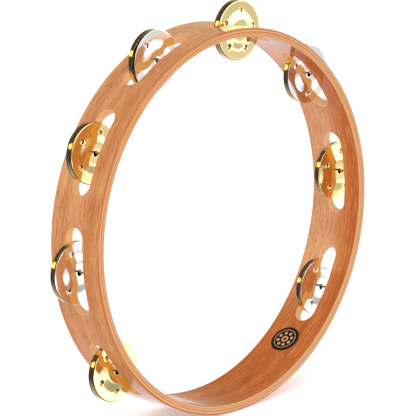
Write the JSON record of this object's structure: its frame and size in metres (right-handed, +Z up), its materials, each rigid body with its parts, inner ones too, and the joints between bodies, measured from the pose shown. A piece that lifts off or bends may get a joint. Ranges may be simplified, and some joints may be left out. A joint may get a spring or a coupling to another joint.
{
  "type": "tambourine",
  "caption": "Headless wooden hand tambourine: a round hoop with jingle slots, each crossed by a steel pin that carries a loose pair of jingles, brass and steel.",
  "frame": {"origin": "lowest point of the hoop, at the middle of the bare grip section, on the plane midway between the two rim edges", "axes": "+Z up from the grip section through the hoop's centre; +Y along the hoop's axis from the front edge to the rear edge; +X to the right as seen from the front"},
  "size_m": [0.2864, 0.0422, 0.2681],
  "materials": {
    "hoop_wood": "clear gloss lacquer",
    "brass": "polished",
    "steel": "polished",
    "pin_steel": "drawn wire",
    "badge": "satin print"
  },
  "bodies": {
    "hoop": {"hoop": "hoop_wood", "badge": "badge", "pin_1": "pin_steel", "pin_2": "pin_steel", "pin_3": "pin_steel", "pin_4": "pin_steel", "pin_5": "pin_steel", "pin_6": "pin_steel", "pin_7": "pin_steel", "pin_8": "pin_steel"},
    "steel_jingle_1": {"steel_jingle_1": "steel"},
    "brass_jingle_1": {"brass_jingle_1": "brass"},
    "brass_jingle_2": {"brass_jingle_2": "brass"},
    "steel_jingle_2": {"steel_jingle_2": "steel"},
    "steel_jingle_3": {"steel_jingle_3": "steel"},
    "brass_jingle_3": {"brass_jingle_3": "brass"},
    "brass_jingle_4": {"brass_jingle_4": "brass"},
    "steel_jingle_4": {"steel_jingle_4": "steel"},
    "steel_jingle_5": {"steel_jingle_5": "steel"},
    "brass_jingle_5": {"brass_jingle_5": "brass"},
    "brass_jingle_6": {"brass_jingle_6": "brass"},
    "steel_jingle_6": {"steel_jingle_6": "steel"},
    "steel_jingle_7": {"steel_jingle_7": "steel"},
    "brass_jingle_7": {"brass_jingle_7": "brass"},
    "brass_jingle_8": {"brass_jingle_8": "brass"},
    "steel_jingle_8": {"steel_jingle_8": "steel"}
  },
  "joints": [
    {"name": "steel_jingle_1_slide", "type": "slide", "parent": "hoop", "child": "steel_jingle_1", "axis": [0, -1, 0], "range_m": [0, 0.00575]},
    {"name": "brass_jingle_1_slide", "type": "slide", "parent": "hoop", "child": "brass_jingle_1", "axis": [0, 1, 0], "range_m": [0, 0.00035]},
    {"name": "brass_jingle_2_slide", "type": "slide", "parent": "hoop", "child": "brass_jingle_2", "axis": [0, -1, 0], "range_m": [0, 0.00565]},
    {"name": "steel_jingle_2_slide", "type": "slide", "parent": "hoop", "child": "steel_jingle_2", "axis": [0, 1, 0], "range_m": [0, 0.00045]},
    {"name": "steel_jingle_3_slide", "type": "slide", "parent": "hoop", "child": "steel_jingle_3", "axis": [0, -1, 0], "range_m": [0, 0.00575]},
    {"name": "brass_jingle_3_slide", "type": "slide", "parent": "hoop", "child": "brass_jingle_3", "axis": [0, 1, 0], "range_m": [0, 0.00035]},
    {"name": "brass_jingle_4_slide", "type": "slide", "parent": "hoop", "child": "brass_jingle_4", "axis": [0, -1, 0], "range_m": [0, 0.00455]},
    {"name": "steel_jingle_4_slide", "type": "slide", "parent": "hoop", "child": "steel_jingle_4", "axis": [0, 1, 0], "range_m": [0, 0.00155]},
    {"name": "steel_jingle_5_slide", "type": "slide", "parent": "hoop", "child": "steel_jingle_5", "axis": [0, -1, 0], "range_m": [0, 0.0047]},
    {"name": "brass_jingle_5_slide", "type": "slide", "parent": "hoop", "child": "brass_jingle_5", "axis": [0, 1, 0], "range_m": [0, 0.00035]},
    {"name": "brass_jingle_6_slide", "type": "slide", "parent": "hoop", "child": "brass_jingle_6", "axis": [0, -1, 0], "range_m": [0, 0.00545]},
    {"name": "steel_jingle_6_slide", "type": "slide", "parent": "hoop", "child": "steel_jingle_6", "axis": [0, 1, 0], "range_m": [0, 0.00065]},
    {"name": "steel_jingle_7_slide", "type": "slide", "parent": "hoop", "child": "steel_jingle_7", "axis": [0, -1, 0], "range_m": [0, 0.00545]},
    {"name": "brass_jingle_7_slide", "type": "slide", "parent": "hoop", "child": "brass_jingle_7", "axis": [0, 1, 0], "range_m": [0, 0.00065]},
    {"name": "brass_jingle_8_slide", "type": "slide", "parent": "hoop", "child": "brass_jingle_8", "axis": [0, -1, 0], "range_m": [0, 0.00565]},
    {"name": "steel_jingle_8_slide", "type": "slide", "parent": "hoop", "child": "steel_jingle_8", "axis": [0, 1, 0], "range_m": [0, 0.00045]}
  ]
}
